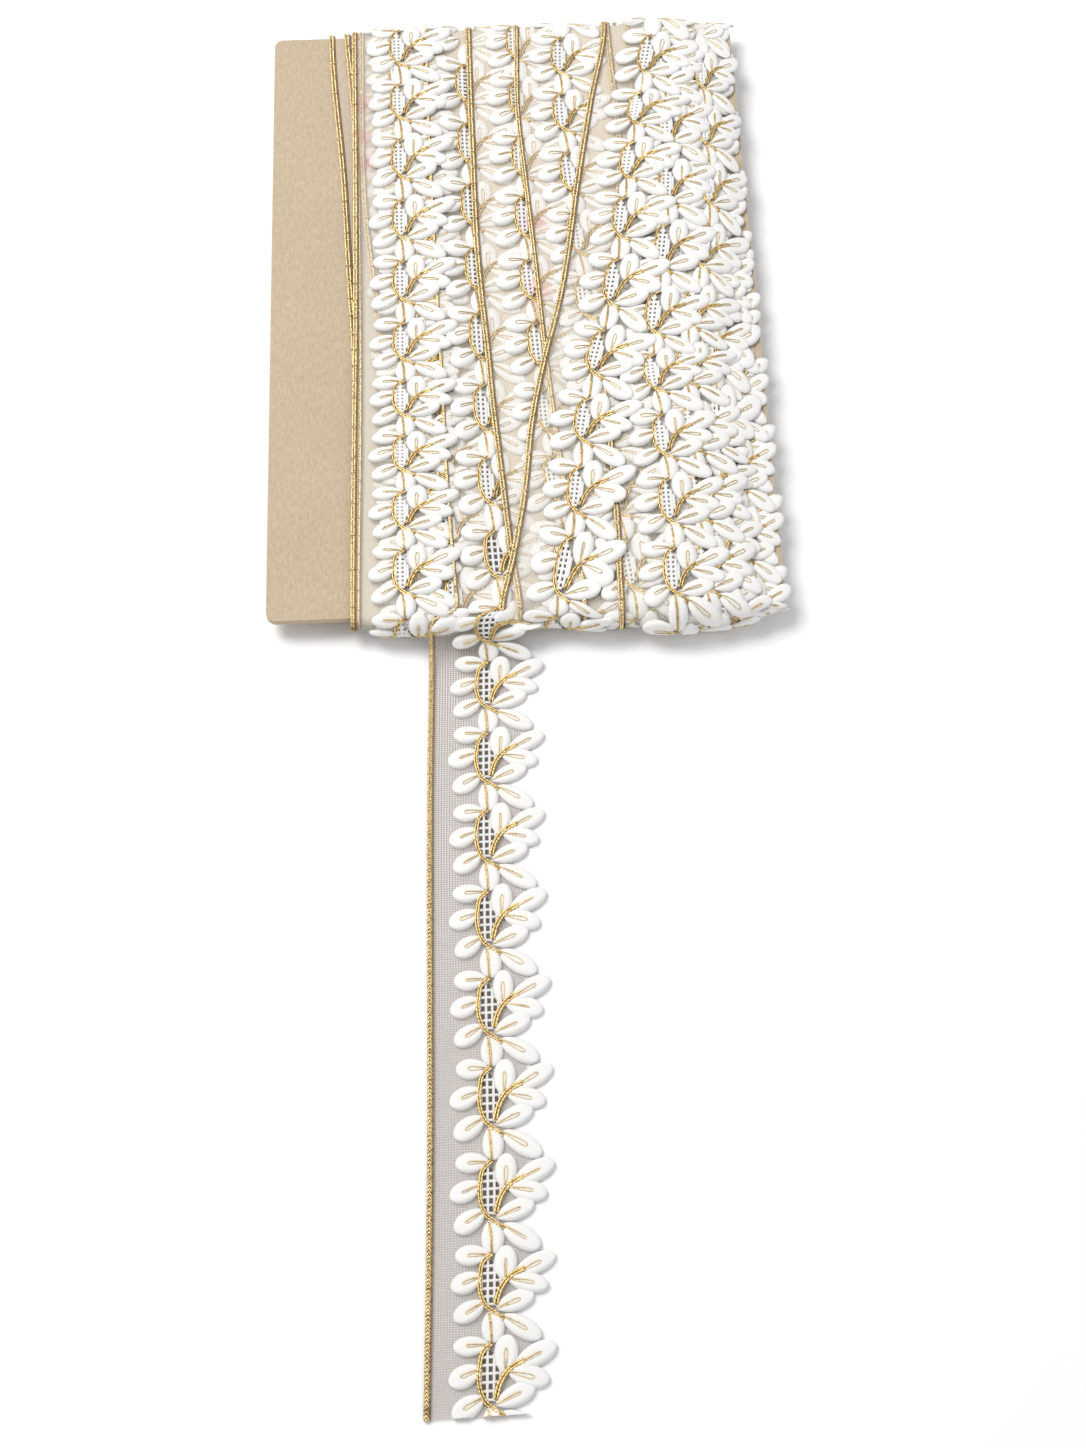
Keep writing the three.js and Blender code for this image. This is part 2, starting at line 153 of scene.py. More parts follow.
# Rows and columns of its bars, their width and lift, and how far it is drawn in, as on the pad
LOOSE_NET = ([1.6, 4.4, 7.1, 9.9, 12.8, 15.7, 18.6], [19.5, 21.8, 24.1, 26.3], 1.1, 0.5, 0.0)
WOUND_NET = ([1.6, 3.7, 5.8, 7.9, 10.0, 12.1, 14.2, 16.3, 18.4], [19.6, 21.5, 23.4, 24.4],
             1.35, 0.8, 1.6)

# Front passes, lowest first: line of the gold edge (x, y), y of the stem nodes, one repeat beyond
# them, open share of the sheer ground, and x that the pass's back runs to
PASSES = [
    ("right_rim", [(168, 297), (168, 230), (168.5, 160), (169.5, 80), (168, 0)],
     [281, 248, 215, 182, 149, 116, 83, 50, 17], 33.0, 1.0, 164),
    ("right_under", [(166, 297), (168, 220), (167.5, 140), (169, 70), (168.5, 0)],
     [270, 238, 206, 172, 140, 107, 74, 41, 8], 33.0, 1.0, 160),
    ("right_low", [(167, 297), (165.5, 252), (166.5, 190), (165, 126), (157, 100), (153, 50),
                   (153, 0)],
     [263, 230.5, 198, 165.5, 133], 32.5, 1.0, 165),
    ("left_low", [(24.4, 297), (29.8, 214), (32.2, 162), (33.6, 137), (34.8, 70), (34.7, 0)],
     [8, 39.5], 31.5, 1.0, 33.5),
    ("hidden_mid", [(38, 297), (39.6, 190), (43.5, 150), (47, 100), (50, 50), (53, 0)],
     [145, 113], 32.0, 1.0, 87),
    ("right_mid", [(158, 297), (158, 200), (161, 130), (162, 94), (157.5, 70), (158, 0)],
     [97, 64.5], 32.5, 1.0, 167),
    ("left_mid", [(31.3, 297), (33.2, 271), (35.3, 230), (36.2, 150), (36, 80), (35, 0)],
     [31, 62], 31.0, 1.0, 37),
    ("right_slant", [(172, 297), (161, 225), (150, 160), (139, 100), (128, 40), (122, 0)],
     [214, 181], 33.0, 1.0, 158),
    ("right_fan", [(171, 297), (169, 240), (167, 190), (160, 160), (153, 130), (151, 60), (152, 0)],
     [277, 244.5, 212, 179.5], 32.5, 1.0, 160),
    ("second", [(68, 297), (68.4, 230), (70.2, 152), (71.3, 110), (72.8, 50), (74.4, 17),
                (75.4, 0)],
     [277, 243, 209, 175, 141, 105, 70, 35.3, 0.6], 33.0, 0.4, 66),
    ("third", [(86.1, 297), (86.3, 231), (87.4, 162), (89.8, 124), (91.6, 91), (93.9, 60),
               (96.2, 29), (99, 0)],
     [234.4, 202, 168], 33.0, 1.0, 108),
    ("fourth", [(108.1, 297), (107.1, 248), (109.2, 210), (111.9, 163), (113.9, 125), (119, 60),
                (125, 0)],
     [258.1, 225], 33.0, 0.8, 147),
    ("right", [(149, 297), (150.5, 220), (145.5, 172), (141, 147), (137, 115), (138.6, 80),
               (139.4, 40), (139, 0)],
     [246, 213.5, 181, 147, 115, 85, 54, 22], 32.5, 1.0, 153),
    ("slant", [(147.6, 297), (139.5, 254), (132.9, 217), (120.2, 143), (113.2, 116), (107.4, 88),
               (102.4, 50), (96.8, 21), (92, 0)],
     [287, 254, 227, 198, 165, 129, 96, 63, 30.5, -4.7], 33.1, 1.0, 171),
    ("first", [(35, 297), (35.2, 204), (34.9, 132), (34.3, 90), (33.4, 0)],
     [296.8, 264.5, 233.6, 200.3, 168, 136.1, 107.1, 80.4, 54, 27, -3.5], 30.6, 0.85, 66),
]
# Repeats that each pass has before its first stem node and after its last one
REPEATS_BEFORE, REPEATS_AFTER = 14, 25

# Loose end: one pass that leaves the front near the bottom fold
LOOSE_PASS = "second"
LOOSE_FIRST_NODE = 8
JOIN_Y = 2.0
LOOSE_EDGE_X = 64.2
LOOSE_DRIFT = 0.0249
LOOSE_SWAY = 0.5
LOOSE_SCALLOP = 3.2
LOOSE_END_Y = -303.9
LOOSE_NODES = [-17.5, -47.9, -80.8, -113.8, -148.1, -181.9, -216.4, -249.2, -279.8]
LOOSE_DESCENT = [
    # y, z
    (2.0, 17.5), (-0.6, 17.0), (-4.9, 15.1), (-7.9, 11.5), (-9.8, 7.6), (-12.8, 4.2),
    (-17.2, 1.9), (-22.6, 0.7), (-28.5, 0.25), (-34.0, 0.2),
]
LOOSE_LOWEST = 0.12
# Depth that its gold side tucks in under the fold, and length that its leaf side is held longer
TUCK = 1.5
HELD = 7

# Fineness: points along and across a leaf, points along a vein and its sides, step and sides of
# a stem, step, sides and plies of the gold edge, and step and sides of the row beside it
FRONT_LEAF, VEILED_LEAF, BACK_LEAF, LOOSE_LEAF = (11, 9), (7, 5), (6, 5), (18, 13)
FRONT_VEIN, VEILED_VEIN, BACK_VEIN, LOOSE_VEIN = (17, 4), (13, 3), (7, 3), (33, 6)
FRONT_STEM, BACK_STEM, LOOSE_STEM = (0.95, 4), (2.4, 3), (0.5, 6)
FRONT_CORD, BACK_CORD, LOOSE_CORD = (0.82, 5, 2), (2.2, 4, 1), (0.45, 6, 2)
FRONT_ROW, LOOSE_ROW = (0.7, 4), (0.45, 5)
BAR_SIDES = 5
# Sheer ground: step along, and places across
WOUND_GROUND = (3.0, [0.0, 2.5, 6.0, 9.0, 13.0, 17.0, 21.0, 25.0, 29.0, 33.0])
LOOSE_GROUND = (1.5, [0.0, 1.2, 2.5, 4.5, 6.5, 9.0, 11.5, 14.0, 17.0, 20.0, 23.0, 26.0, 29.0,
                      31.0, 33.0])
CORE_POINTS = (44, 180)

# Pink stains: x, y and radius
STAINS = [(38.6, 256.0, 8.0), (39.6, 238.0, 7.0), (40.6, 223.0, 7.0), (113.5, 187.5, 8.0),
          (114.4, 152.5, 8.0), (111.8, 147.0, 6.0)]
STAIN_HEIGHT = 6.0
STAIN_STRENGTH = 0.62
STAIN_COLOUR = (0.78, 0.30, 0.32, 1.0)

# Satin stitch and plain weave, in centimetres
STITCH_PITCH, STITCH_SLANT, STITCH_WOBBLE = 0.042, 0.9, 0.012
WEAVE_PITCHES = (0.105, 0.09)

# Camera: place from the card's corner, angles of its view and focal length
CAMERA_PLACE = (93.4, -400.3, 765.0)
CAMERA_ELEVATION, CAMERA_YAW = 65.0, 2.3
CAMERA_FOCAL = 53.6

# Studio, in metres
FLOOR_HALF, FLOOR_DROP = 6.0, 0.0003
WORLD_STRENGTH = 0.52
LIGHTS = [
    # name, place, size, power
    ("key", (-0.75, 0.55, 1.5), 0.9, 24.0),
    ("fill", (0.9, -0.9, 1.6), 1.6, 4.0),
]


def smoothstep(low, high, value):
    t = np.clip((value - low) / (high - low), 0, 1)
    return t * t * (3 - 2 * t)


def hermite(knots, values, at):
    """Smooth curve through values at knots, evaluated at the array at."""
    knots, values = np.asarray(knots, float), np.asarray(values, float)
    slopes = np.gradient(values, knots)
    at = np.clip(at, knots[0], knots[-1])
    k = np.clip(np.searchsorted(knots, at, side="right") - 1, 0, len(knots) - 2)
    width = knots[k + 1] - knots[k]
    t = (at - knots[k]) / width
    return ((2 * t**3 - 3 * t**2 + 1) * values[k] + (t**3 - 2 * t**2 + t) * width * slopes[k]
            + (3 * t**2 - 2 * t**3) * values[k + 1] + (t**3 - t**2) * width * slopes[k + 1])


def distances(points):
    """Length along a line of points up to each of them."""
    steps = np.hypot(*np.diff(points, axis=0).T)
    return np.concatenate([[0], np.cumsum(steps)])


# Chart of one repeat

def leaf_half_width(share):
    """Half width of a leaf, as a share of its largest, at a share of its length."""
    return 2.25 * np.clip(share, 0, 1) ** 0.66 * np.clip(1 - share, 0, 1) ** 0.51


def leaf_dome(share, side):
    """Height of a leaf's padding, as a share of its crown; side is -1 to 1 across it."""
    ends = leaf_half_width(share) ** 0.5
    rim = RIM_HEIGHT * np.exp(-((np.abs(side) - RIM_PLACE) / RIM_WIDTH) ** 2) * np.clip(ends, 0, 1)
    return ends * np.clip(1 - np.abs(side) ** 3.2, 0, 1) ** 0.5 * 0.92 + rim


def chart_relief(across, along):
    """Height of the leaves over the ground at a point of the repeat."""
    height = np.zeros_like(across)
    along = np.mod(along, REPEAT)
    for base_a, base_l, tip_a, tip_l, width in LEAVES:
        axis = np.array([tip_a - base_a, tip_l - base_l])
        length = np.hypot(*axis)
        for shift in (-REPEAT, 0.0, REPEAT):
            da, dl = across - base_a, along + shift - base_l
            share = (da * axis[0] + dl * axis[1]) / length**2
            half = np.maximum(leaf_half_width(share) * width / 2, 1e-6)
            side = (da * axis[1] - dl * axis[0]) / length / half
            inside = (share > 0) & (share < 1) & (np.abs(side) < 1)
            dome = LEAF_CROWN * leaf_dome(np.clip(share, 0, 1), np.clip(side, -1, 1))
            height = np.maximum(height, np.where(inside, dome, 0))
    return height


def filling_edge(along, drawn_in):
    """Right edge of the open filling at a distance along the repeat."""
    return np.interp(along, FILLING_ALONG, FILLING_RIGHT) - drawn_in


def filling_start(along):
    """Left edge of the open filling, beside the main stem."""
    stem = np.array(MAIN_STEM)
    return np.interp(along, stem[:, 1], stem[:, 0]) + 0.3


# Wound pad

class Grid:
    """Heights over the card on the unrolled pad, one cell a millimetre, closed round in s."""

    def __init__(self, values):
        self.values = values

    def at(self, x, s):
        v = self.values
        gx = np.clip(x - GRID_LEFT, 0, v.shape[0] - 1.001)
        gs = np.mod(s, LOOP) / LOOP * v.shape[1]
        ix, js = gx.astype(int), gs.astype(int)
        fx, fs = gx - ix, gs - js
        js = js % v.shape[1]
        jn = (js + 1) % v.shape[1]
        return ((v[ix, js] * (1 - fx) + v[ix + 1, js] * fx) * (1 - fs)
                + (v[ix, jn] * (1 - fx) + v[ix + 1, jn] * fx) * fs)


GRID_X = np.arange(GRID_LEFT, GRID_RIGHT + 0.5, 1.0)
GRID_S = np.arange(int(round(LOOP))) * LOOP / round(LOOP)
CELL_X, CELL_S = np.meshgrid(GRID_X, GRID_S, indexing="ij")


def shifted(values, cells, axis):
    """Values moved by some cells, held at the sides in x and closed round in s."""
    if axis:
        return np.roll(values, -cells, axis=1)
    return values[np.clip(np.arange(len(values)) + cells, 0, len(values) - 1)]


def draped_over(values, reach=3, softness=3.0):
    """Surface of a thin cloth laid over values: the highest nearby point, smoothed."""
    for axis in (0, 1):
        values = np.max([shifted(values, k, axis) for k in range(-reach, reach + 1)], axis=0)
    around = range(-8, 9)
    weights = np.exp(-0.5 * (np.array(around) / softness) ** 2)
    weights /= weights.sum()
    for axis in (0, 1):
        values = sum(w * shifted(values, k, axis) for w, k in zip(weights, around))
    return values


def hidden_turns(x):
    """Height of the inner turns over the card."""
    return HIDDEN_TURNS * (smoothstep(30, 62, x) * (1 - smoothstep(168, 206, x)))


def pressed_back(height):
    """Height on the back, where the surface presses the turns flat."""
    knee = BACK_DEPTH - BACK_SOFTNESS
    pressed = knee + BACK_SOFTNESS * np.tanh((height - knee) / BACK_SOFTNESS)
    return np.where(height > knee, pressed, height)


def on_pad(x, s, height):
    """Point of the pad at x, s and a height over the card, in millimetres."""
    s = np.mod(s + FOLD, LOOP) - FOLD
    from_top = np.maximum(np.where(s < FRONT_END, s, BACK_END - s), 0)
    beyond = np.maximum(x - SIDE_START, 0)
    reach = SIDE_REACH_TOP + (SIDE_REACH_LOW - SIDE_REACH_TOP) * smoothstep(60, 220, from_top)
    x = np.minimum(x, SIDE_START) + reach * (1 - np.exp(-beyond / reach))
    height = height * (1 - SIDE_DROOP * smoothstep(SIDE_START + 4, CARD_WIDTH + 3, x))
    ease = TOP_EASE + (TOP_EASE_RIGHT - TOP_EASE) * smoothstep(150, 205, x)
    height = height * (1 - ease * (1 - smoothstep(0, TOP_EASE_LENGTH, from_top)))
    front = (s >= 0) & (s <= FRONT_END)
    back = (s >= BACK_START) & (s <= BACK_END)
    lower = (s > FRONT_END) & (s < BACK_START)
    turn = np.where(s > BACK_END, (s - BACK_END) / FOLD, s / FOLD + 1)
    turn = np.clip(np.where(lower, (s - FRONT_END) / FOLD, turn), 0, 1) * math.pi
    drawn = height * (1 - FOLD_DRAW * np.sin(turn))
    radius, back_radius = HALF_CARD + drawn, HALF_CARD + pressed_back(drawn)
    y = np.where(lower, -radius * np.sin(turn), CARD_LENGTH + radius * np.sin(turn))
    y = np.where(front, CARD_LENGTH - s, np.where(back, s - BACK_START, y))
    lower_z = CARD_MIDDLE + np.where(turn < math.pi / 2, radius, back_radius) * np.cos(turn)
    upper_z = CARD_MIDDLE - np.where(turn > math.pi / 2, radius, back_radius) * np.cos(turn)
    z = np.where(back, CARD_UNDERSIDE - pressed_back(height), np.where(lower, lower_z, upper_z))
    z = np.where(front, CARD_TOP + height, z)
    return np.stack(np.broadcast_arrays(x, y, z), axis=-1)


class Strip:
    """One turn of the trim on the unrolled pad. Its chart has repeats of equal length."""

    def __init__(self, name, line, nodes, repeat, sheer, back_to):
        self.name, self.sheer, self.cut = name, sheer, math.inf
        self.net, self.lanes = WOUND_NET, WOUND_LANES
        self.start = -FOLD / 2
        self.end = FRONT_END + FOLD / 2 + LOOP / 2
        if name == LOOSE_PASS:
            self.end = FRONT_END - JOIN_Y
        bottom = line[-1][0]
        self.knots = [-FOLD, *(FRONT_END - y for _, y in line),
                      BACK_START, BACK_START + FRONT_END / 2, BACK_END, BACK_END + FOLD]
        self.values = [line[0][0], *(x for x, _ in line),
                       bottom, (bottom + back_to) / 2, back_to, back_to]
        self.table_s = np.linspace(self.start - 20, LOOP + 40, 800)
        self.table_l = distances(np.stack([self.edge(self.table_s), self.table_s], axis=1))
        node_s = FRONT_END - np.array(sorted(nodes, reverse=True))
        slope = self.slope(node_s)
        node_s = node_s + slope * self.gathered(np.array([STEM_ACROSS])) / np.sqrt(1 + slope**2)
        node_l = np.interp(node_s, self.table_s, self.table_l)
        before = node_l[0] - repeat * np.arange(REPEATS_BEFORE, 0, -1)
        after = node_l[-1] + repeat * np.arange(1, REPEATS_AFTER + 1)
        self.node_l = np.concatenate([before, node_l, after])
        self.node_c = REPEAT * (np.arange(len(self.node_l)) - REPEATS_BEFORE)

    def turn_length(self):
        start, end = np.interp([self.start, self.end], self.table_s, self.table_l)
        return float(end - start)

    def chart_at(self, s):
        """Chart length at a place of the pad."""
        length = np.interp(s, self.table_s, self.table_l)
        return float(np.interp(length, self.node_l, self.node_c))

    def edge(self, s):
        return hermite(self.knots, self.values, s)

    def slope(self, s):
        return (self.edge(s + 1) - self.edge(s - 1)) / 2

    def gathered(self, across):
        return across - (1 - self.sheer) * np.minimum(across, SHEER_ACROSS)

    def opened(self, offset):
        limit = SHEER_ACROSS * self.sheer
        return np.where(offset < limit, offset / self.sheer, offset + SHEER_ACROSS - limit)

    def unrolled(self, across, along):
        """x and s of a point of the chart."""
        s = np.interp(np.interp(along, self.node_c, self.node_l), self.table_l, self.table_s)
        slope = self.slope(s)
        run = self.gathered(across) / np.sqrt(1 + slope**2)
        return self.edge(s) + run, s - slope * run

    def chart(self, x, s):
        """Across and along position of a point of the pad, and whether the strip reaches it."""
        slope = self.slope(s)
        stretch = np.sqrt(1 + slope**2)
        offset = (x - self.edge(s)) / stretch
        s0 = s + slope * offset / stretch
        along = np.interp(np.interp(s0, self.table_s, self.table_l), self.node_l, self.node_c)
        reached = (s0 >= self.start) & (s0 <= self.end)
        return self.opened(offset), along, reached

    def place(self, across, along, lift, under=True):
        """Point at a place of the chart and a lift from the ground, kept under the later turns."""
        x, s = self.unrolled(across, along)
        base = self.base.at(x, s)
        if under:
            room = np.maximum(self.ceiling.at(x, s) - base - CLEARANCE, LEAST_ROOM)
            lift = lift * np.minimum(room / FULL_LIFT, 1)
        return on_pad(x, s, base + lift)


def wind():
    """Lays the strips one over another. Each keeps its base and what later ones lay over it."""
    surface = hidden_turns(CELL_X)
    strips, masks = [], []
    for row in PASSES:
        strip = Strip(*row)
        strip.base = Grid(draped_over(surface) + 0.1)
        across, along, reached = strip.chart(CELL_X, CELL_S)
        leaves = chart_relief(across, along)
        cord = (across > -0.3) & (across < CORD_WIDTH + 0.2)
        ground = (across > -0.3) & (across < GROUND_ACROSS)
        there = reached & (ground | ((leaves > 0) & (across < TRIM_WIDTH + 1)))
        pressed = GROUND_LIFT + PRESSED * np.maximum(leaves, np.where(cord, 1.3, 0))
        surface = np.where(there, np.maximum(surface, strip.base.values + pressed), surface)
        masks.append((there, there & ((leaves > 0.5) | cord)))
        strips.append(strip)
    ceiling, veil, hide = (np.full_like(surface, start) for start in (99.0, 0.0, 0.0))
    for strip, (there, hard) in zip(reversed(strips), reversed(masks)):
        strip.ceiling, strip.veil, strip.hide = Grid(ceiling), Grid(veil), Grid(hide)
        ceiling = np.where(there, strip.base.values, ceiling)
        veil = np.where(there, 1.0, veil)
        hide = np.where(hard, 1.0, hide)
    return strips


# Loose end

class LooseStrip:
    """End of one pass, from the join over the bottom fold and along the surface to the cut."""

    def __init__(self, pad_strip):
        self.pad, self.hide = pad_strip, None
        self.net, self.lanes = LOOSE_NET, LOOSE_LANES
        self.points = np.array(LOOSE_DESCENT)
        self.knots = distances(self.points)
        self.bend_length = float(self.knots[-1])
        self.offset = REPEAT * LOOSE_FIRST_NODE
        self.start = pad_strip.chart_at(FRONT_END - JOIN_Y) - self.offset
        q = np.linspace(0, self.bend_length + 400, 4000)
        down = -self.path(q)[0]
        node_q = [float(np.interp(-y, down, q)) for y in LOOSE_NODES]
        self.node_q = np.array([0.0, *node_q, node_q[-1] + REPEAT])
        self.node_c = REPEAT * np.arange(len(self.node_q))
        self.node_c[0] = self.start
        self.length = float(np.interp(-LOOSE_END_Y, down, q))
        self.end = self.cut = float(np.interp(self.length, self.node_q, self.node_c))

    def path(self, q):
        y = hermite(self.knots, self.points[:, 0], q)
        z = hermite(self.knots, self.points[:, 1], q)
        beyond = np.maximum(q - self.bend_length, 0)
        return y - beyond, z

    def place(self, across, along, lift, under=True):
        """Point at a place of the chart; before the join it lies on the pad's pass."""
        q = np.interp(along, self.node_c, self.node_q)
        y, z = self.path(q)
        next_y, next_z = self.path(q + 0.5)
        ty, tz = next_y - y, next_z - z
        size = np.hypot(ty, tz)
        ty, tz = ty / size, tz / size
        spread = smoothstep(-8, 11, q)
        sheer = self.pad.sheer + (1 - self.pad.sheer) * spread
        offset = across - (1 - sheer) * np.minimum(across, SHEER_ACROSS)
        start_x = float(self.pad.edge(np.array([FRONT_END - JOIN_Y]))[0])
        wave = LOOSE_SWAY * np.sin(y / 47.0)
        x = start_x + (LOOSE_EDGE_X + LOOSE_DRIFT * y + wave - start_x) * spread + offset
        tuck = TUCK * (1 - smoothstep(7, 20, across)) * smoothstep(0, 8, q)
        tuck = tuck * (1 - smoothstep(11, 27, q))
        rise = lift - tuck
        py = y + LOOSE_DRIFT * across * spread + tz * rise
        pz = np.maximum(z - ty * rise, LOOSE_LOWEST)
        settled = smoothstep(self.bend_length, self.bend_length + 20, q)
        pz = pz + settled * ground_waver(x, y)
        free = np.stack(np.broadcast_arrays(x, py, pz), axis=-1)
        on = self.pad.place(across, along + self.offset, lift, under)
        held = HELD * smoothstep(24, 31, across)
        blend = smoothstep(held, held + 7, q)[..., None] * np.ones_like(free)
        return on * (1 - blend) + free * blend


def ground_waver(x, y):
    """Slight unevenness of the cloth where it lies on the surface."""
    return 0.25 + 0.22 * np.sin(y / 23.0 + 0.4) * np.sin((x - 60) / 17.0)


# Mesh making

def to_world(points):
    return (points + ORIGIN) * MM


def new_object(name, data):
    made = bpy.data.objects.new(name, data)
    SCENE.collection.objects.link(made)
    return made


class Batch:
    """Collects the points, quads and uv of many small pieces for one mesh."""

    def __init__(self):
        self.points, self.quads, self.uv, self.count = [], [], [], 0

    def add(self, points, quads, uv=None):
        points = points.reshape(-1, 3)
        self.points.append(points)
        self.quads.append(np.asarray(quads).reshape(-1, 4) + self.count)
        self.uv.append(np.zeros((len(points), 2)) if uv is None else uv.reshape(-1, 2))
        self.count += len(points)

    def make(self, name, material):
        """One smooth object of all that was added."""
        points = np.concatenate(self.points)
        corners = np.concatenate(self.quads).astype(np.int32).ravel()
        mesh = bpy.data.meshes.new(name)
        mesh.vertices.add(len(points))
        mesh.vertices.foreach_set("co", to_world(points).astype(np.float32).ravel())
        mesh.loops.add(len(corners))
        mesh.loops.foreach_set("vertex_index", corners)
        mesh.polygons.add(len(corners) // 4)
        mesh.polygons.foreach_set("loop_start", np.arange(0, len(corners), 4, dtype=np.int32))
        mesh.polygons.foreach_set("use_smooth", np.ones(len(corners) // 4, bool))
        layer = mesh.uv_layers.new(name="thread")
        layer.data.foreach_set("uv", np.concatenate(self.uv)[corners].astype(np.float32).ravel())
        mesh.update(calc_edges=True)
        mesh.validate()
        mesh.materials.append(material)
        return new_object(name, mesh)


def grid_quads(rows, columns):
    """Quads of one grid of rows by columns points."""
    i, j = np.meshgrid(np.arange(rows - 1), np.arange(columns - 1), indexing="ij")
    a = (i * columns + j).ravel()
    return np.stack([a, a + columns, a + columns + 1, a + 1], axis=1)


def repeated(quads, copies, points_each):
    return (quads[None] + (np.arange(copies) * points_each)[:, None, None]).reshape(-1, 4)


def leaf_rows(first, last):
    """Leaves of the repeats first to last: base, tip, width, crown and which leaf each is."""
    rows = []
    for k in range(first, last + 1):
        start = k * REPEAT
        for index, (base_a, base_l, tip_a, tip_l, width) in enumerate(LEAVES):
            jitter = RANDOM.normal(0, 0.25, 4)
            rows.append((base_a, start + base_l, tip_a + jitter[0], start + tip_l + jitter[1],
                         width * (1 + RANDOM.normal(0, 0.03)), 1 + RANDOM.normal(0, 0.08), index))
    return np.array(rows)


def leaf_lengths(rows):
    return np.hypot(rows[:, 2] - rows[:, 0], rows[:, 3] - rows[:, 1])


def on_leaves(rows, run, offset):
    """Chart places at a run from each leaf's base and an offset to its side."""
    unit = (rows[:, 2:4] - rows[:, 0:2]) / leaf_lengths(rows)[:, None]
    columns = (rows[:, 0], rows[:, 1], unit[:, 0], unit[:, 1])
    base_a, base_l, unit_a, unit_l = (c.reshape(-1, *[1] * (run.ndim - 1)) for c in columns)
    return base_a + unit_a * run - unit_l * offset, base_l + unit_l * run + unit_a * offset


def leaf_meshes(batch, strip, rows, long_steps, wide_steps):
    """Adds the leaves as closed padded lenses, with uv in centimetres along and across each."""
    if not len(rows):
        return
    share = (1 - np.cos(np.linspace(*LEAF_ENDS, long_steps) * math.pi)) / 2
    side = np.sin(np.linspace(-0.5, 0.5, wide_steps) * math.pi)
    half = leaf_half_width(share)[None, :] * rows[:, 4:5] / 2
    offset = half[:, :, None] * side
    run = share[:, None] * leaf_lengths(rows)[:, None, None]
    across, along = on_leaves(rows, run, offset)
    dome = leaf_dome(share[:, None], side) * (LEAF_CROWN * rows[:, 5])[:, None, None]
    groove = GROOVE_DEPTH * np.exp(-(offset / GROOVE_WIDTH) ** 2)
    groove = groove * (1 - smoothstep(0.5, 0.75, share))[:, None]
    lift = GROUND_LIFT + 0.05 + np.maximum(dome - groove, 0)

    def with_rims(grid):
        """Values of the leaves' tops and, after them, of their two rims for the undersides."""
        parts = [part.reshape(len(rows), -1) for part in (grid, grid[:, :, [0, -1]])]
        return np.concatenate(parts, axis=1)

    grids = np.broadcast_arrays(across, along, run, offset, lift)
    across, along, run, offset, lift = (with_rims(grid) for grid in grids)
    low = long_steps * wide_steps
    lift[:, low:] = LEAF_UNDERSIDE
    points = strip.place(across, np.minimum(along, strip.cut), lift)
    i = np.arange(long_steps - 1)
    left, right = i * wide_steps, i * wide_steps + wide_steps - 1
    low_left, low_right = low + 2 * i, low + 2 * i + 1
    quads = np.concatenate([
        grid_quads(long_steps, wide_steps),
        np.stack([left, low_left, low_left + 2, left + wide_steps], axis=1),
        np.stack([right, right + wide_steps, low_right + 2, low_right], axis=1),
        np.stack([low_left, low_right, low_right + 2, low_left + 2], axis=1),
    ])
    quads = repeated(quads, len(rows), points.shape[1])
    gone = (along > strip.cut).ravel()
    batch.add(points, quads[~gone[quads].all(axis=1)], np.stack([run, offset], axis=-1) * UV_CM)


def unit(vectors):
    return vectors / (np.linalg.norm(vectors, axis=-1, keepdims=True) + 1e-9)


def tubes(batch, centre, up, radius, sides):
    """Adds tubes along centre (tube, step, xyz), with uv of step and angle, capped from 4 sides."""
    count, steps, _ = centre.shape
    tangent = unit(np.gradient(centre, axis=1))
    side = unit(np.cross(tangent, up))
    top = np.cross(side, tangent)
    angle = np.linspace(0, 2 * math.pi, sides, endpoint=False)
    ring = (np.cos(angle)[:, None] * side[:, :, None, :]
            + np.sin(angle)[:, None] * top[:, :, None, :])
    points = centre[:, :, None, :] + ring * radius[:, :, None, None]
    i, j = np.meshgrid(np.arange(steps - 1), np.arange(sides), indexing="ij")
    a, b = (i * sides + j).ravel(), (i * sides + (j + 1) % sides).ravel()
    quads = np.stack([a, b, b + sides, a + sides], axis=1)
    caps = [(end, end + k, end + k + 1, end + k + 2)
            for end in (0, (steps - 1) * sides) for k in range(1, sides - 2, 2)]
    quads = np.concatenate([quads, np.array(caps)]) if caps else quads
    uv = np.stack(np.meshgrid(np.arange(steps) * 0.1, angle, indexing="ij"), axis=-1)
    batch.add(points, repeated(quads, count, steps * sides), np.tile(uv, (count, 1, 1, 1)))


def bared(strip, across, along):
    """Which lines of points are not wholly under the leaves and cords of later turns."""
    if strip.hide is None:
        return np.ones(len(across), bool)
    x, s = strip.unrolled(across, along)
    return (strip.hide.at(x, s) < 0.5).any(axis=1)


def add_lines(batch, strip, across, along, lift, radius, sides):
    """Adds a tube along each line of chart points that isn't wholly hidden."""
    across, along, lift, radius = np.broadcast_arrays(across, along, lift, radius)
    keep = bared(strip, across, along)
    if not keep.any():
        return
    across, along, lift = across[keep], along[keep], lift[keep]
    up = strip.place(across, along, lift + 0.6, False) - strip.place(across, along, lift, False)
    tubes(batch, strip.place(across, along, lift), unit(up), radius[keep], sides)


